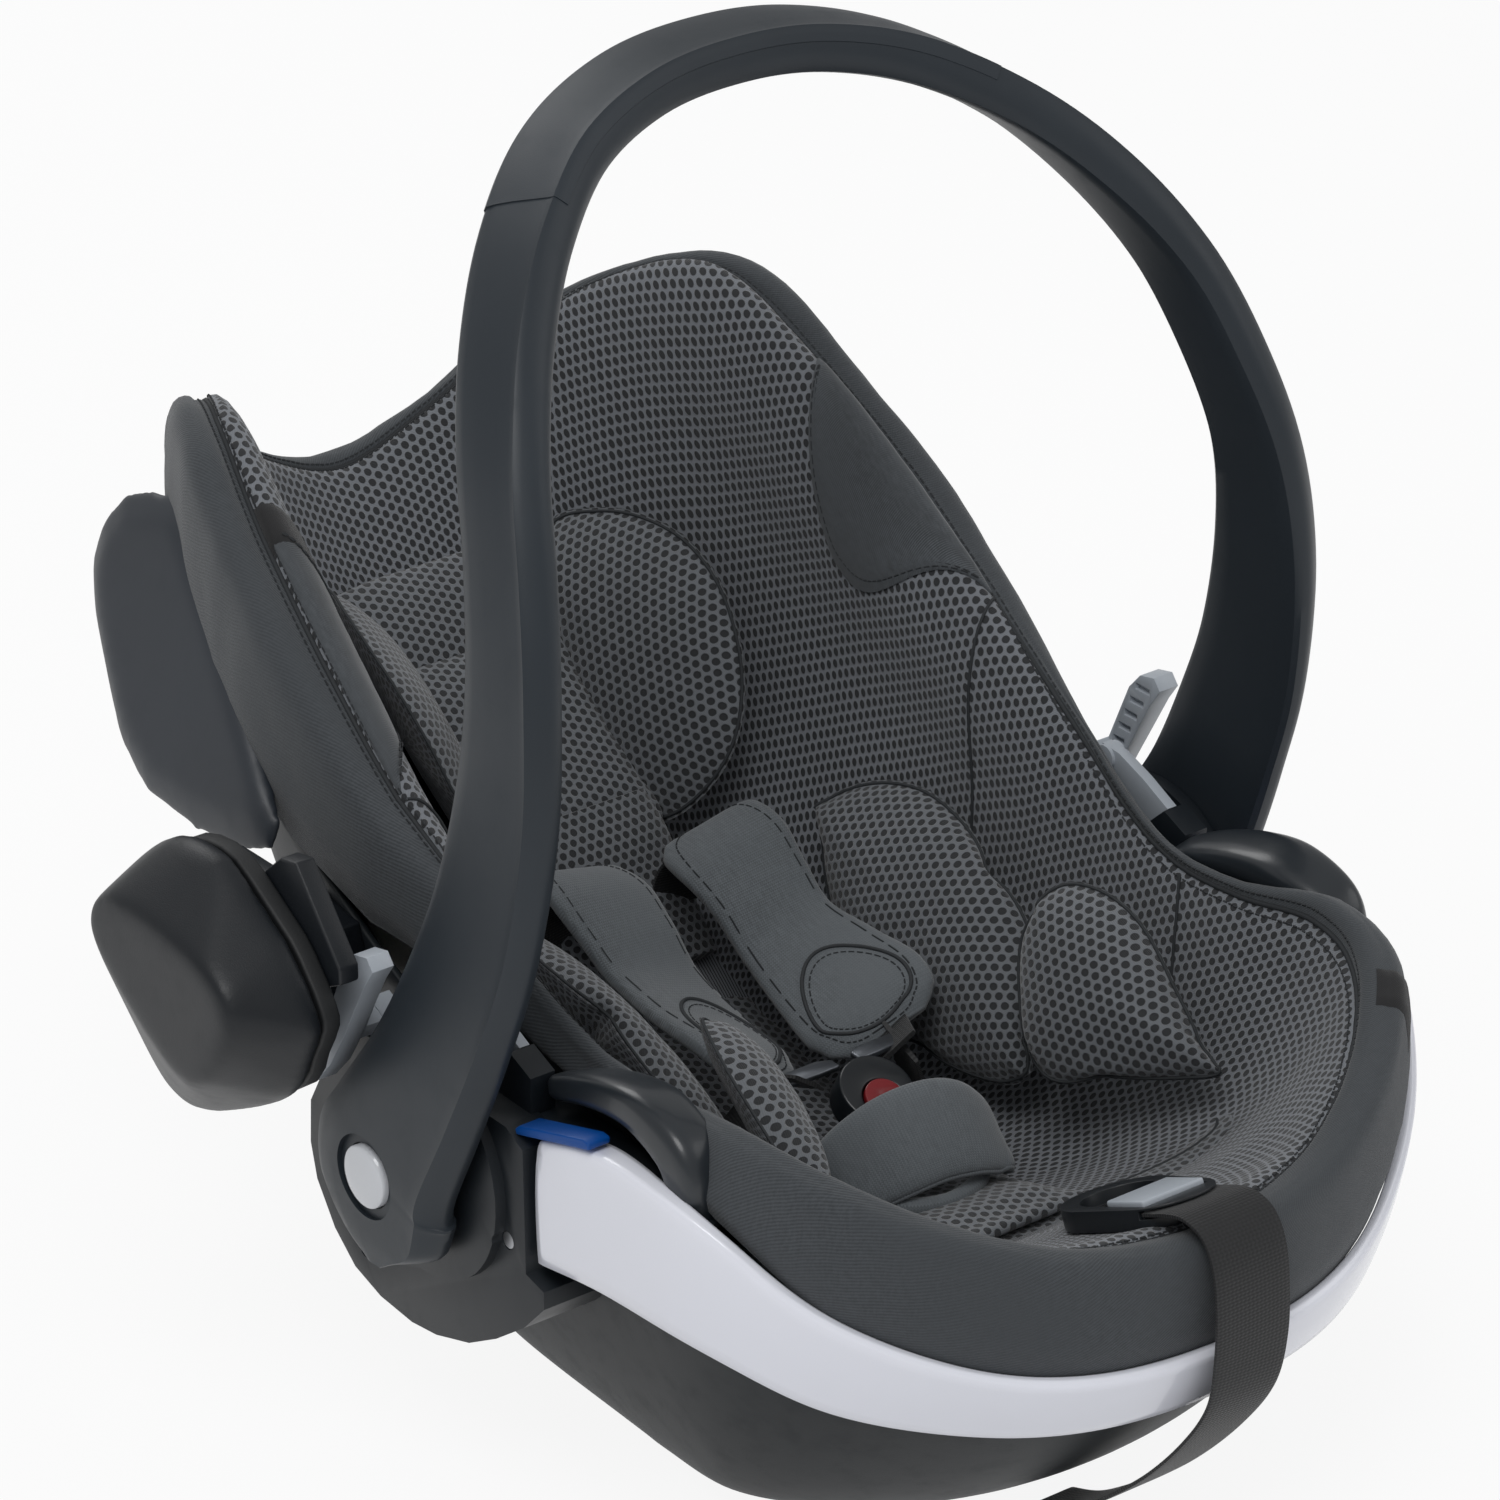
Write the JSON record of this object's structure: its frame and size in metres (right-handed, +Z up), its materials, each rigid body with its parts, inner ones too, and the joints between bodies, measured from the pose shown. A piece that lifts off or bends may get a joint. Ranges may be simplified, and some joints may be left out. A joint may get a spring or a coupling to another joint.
{
  "type": "infant car seat",
  "caption": "Infant car seat: padded bowl with high side wings in a moulded shell, with a tall carry handle, a three point harness, belt hooks and a pull-out side impact unit.",
  "frame": {"origin": "middle of the flat underside of the base tray, on the floor, in the plane of symmetry", "axes": "+Z up, +Y towards the head end, -Y towards the feet end, +X to the right as seen from the feet end; node names with _left are on the -X side"},
  "size_m": [0.4945, 0.6453, 0.5724],
  "materials": {
    "shell_plastic": "fine grained dark plastic",
    "liner_foam": "beaded foam",
    "cover_fabric": "smooth twill borders round a spacer mesh",
    "steel": "zinc plated",
    "trim_plastic": "glossy white",
    "hook_plastic": "satin to glossy dark",
    "guide_plastic": "bright blue",
    "grey_plastic": "satin light grey",
    "insert_mesh": "spacer mesh with open pores",
    "pad_fabric": "smooth knit",
    "webbing": "woven webbing",
    "buckle_red": "red press button",
    "bezel_plastic": "dark satin",
    "handle_plastic": "satin dark blue grey",
    "grip_plastic": "soft touch"
  },
  "bodies": {
    "seat": {"outer_shell": "shell_plastic", "foam_liner": "liner_foam", "seat_cover": "cover_fabric", "base_tray": "shell_plastic", "front_lock_bar": "steel", "rear_lock_bar": "steel", "front_trim": "trim_plastic", "hub_housing_left": "shell_plastic", "hub_housing_right": "shell_plastic", "belt_hook_left": "hook_plastic", "belt_hook_right": "hook_plastic", "belt_guide_left": "guide_plastic", "belt_guide_right": "guide_plastic", "side_panel_left": "shell_plastic", "side_panel_right": "shell_plastic", "shoulder_belt_hook": "guide_plastic", "canopy_mount_left": "grey_plastic", "canopy_mount_right": "grey_plastic", "hip_bolster_left": "insert_mesh", "hip_bolster_right": "insert_mesh", "torso_bolster_left": "insert_mesh", "torso_bolster_right": "insert_mesh", "seat_pad": "insert_mesh", "shoulder_strap_left": "webbing", "shoulder_strap_right": "webbing", "shoulder_pad_left": "pad_fabric", "shoulder_pad_right": "pad_fabric", "lap_strap_left": "webbing", "lap_strap_right": "webbing", "tongue_left": "steel", "tongue_right": "steel", "buckle": "grey_plastic", "crotch_pad": "pad_fabric", "crotch_strap": "webbing", "adjuster_housing": "bezel_plastic", "adjuster_strap": "webbing", "pivot_pin_left": "steel", "pivot_pin_right": "steel", "lever_spring_left": "steel", "lever_spring_right": "steel", "impact_socket": "shell_plastic", "housing_screws": "steel", "base_screws": "steel"},
    "handle": {"carry_handle": "handle_plastic", "handle_grip": "grip_plastic", "button_spring_left": "steel", "button_spring_right": "steel"},
    "button_left": {"handle_button_left": "grey_plastic"},
    "button_right": {"handle_button_right": "grey_plastic"},
    "lever_left": {"release_lever_left": "grey_plastic"},
    "lever_right": {"release_lever_right": "grey_plastic"},
    "headrest": {"headrest_board": "shell_plastic", "head_cushion": "insert_mesh", "headrest_handle": "shell_plastic"},
    "buckle_release": {"buckle_button": "buckle_red"},
    "adjuster_release": {"adjuster_button": "grey_plastic"},
    "impact_unit": {"impact_bracket": "shell_plastic", "impact_cap": "bezel_plastic", "impact_housing": "shell_plastic"}
  },
  "joints": [
    {"name": "handle_turn", "type": "hinge", "parent": "seat", "child": "handle", "pos_m": [0, 0.004, 0.143], "axis": [1, 0, 0], "range_deg": [0, 75]},
    {"name": "button_press_left", "type": "slide", "parent": "handle", "child": "button_left", "axis": [1, 0, 0], "range_m": [0, 0.0035], "stiffness_N_per_m": 600, "springref_m": -0.003},
    {"name": "button_press_right", "type": "slide", "parent": "handle", "child": "button_right", "axis": [-1, 0, 0], "range_m": [0, 0.0035], "stiffness_N_per_m": 600, "springref_m": -0.003},
    {"name": "lever_pull_left", "type": "slide", "parent": "seat", "child": "lever_left", "axis": [0, -0.4633, 0.8862], "range_m": [0, 0.01], "stiffness_N_per_m": 400, "springref_m": -0.006},
    {"name": "lever_pull_right", "type": "slide", "parent": "seat", "child": "lever_right", "axis": [0, -0.4633, 0.8862], "range_m": [0, 0.01], "stiffness_N_per_m": 400, "springref_m": -0.006},
    {"name": "headrest_slide", "type": "slide", "parent": "seat", "child": "headrest", "axis": [0, 0.6561, 0.7547], "range_m": [0, 0.035]},
    {"name": "buckle_press", "type": "slide", "parent": "seat", "child": "buckle_release", "axis": [0, 0.515, -0.8572], "range_m": [0, 0.003], "stiffness_N_per_m": 800, "springref_m": -0.003},
    {"name": "adjuster_press", "type": "slide", "parent": "seat", "child": "adjuster_release", "axis": [0, -0.4067, -0.9136], "range_m": [0, 0.0035], "stiffness_N_per_m": 600, "springref_m": -0.003},
    {"name": "impact_unit_pull", "type": "slide", "parent": "seat", "child": "impact_unit", "axis": [-1, 0, 0], "range_m": [0, 0.015]}
  ]
}
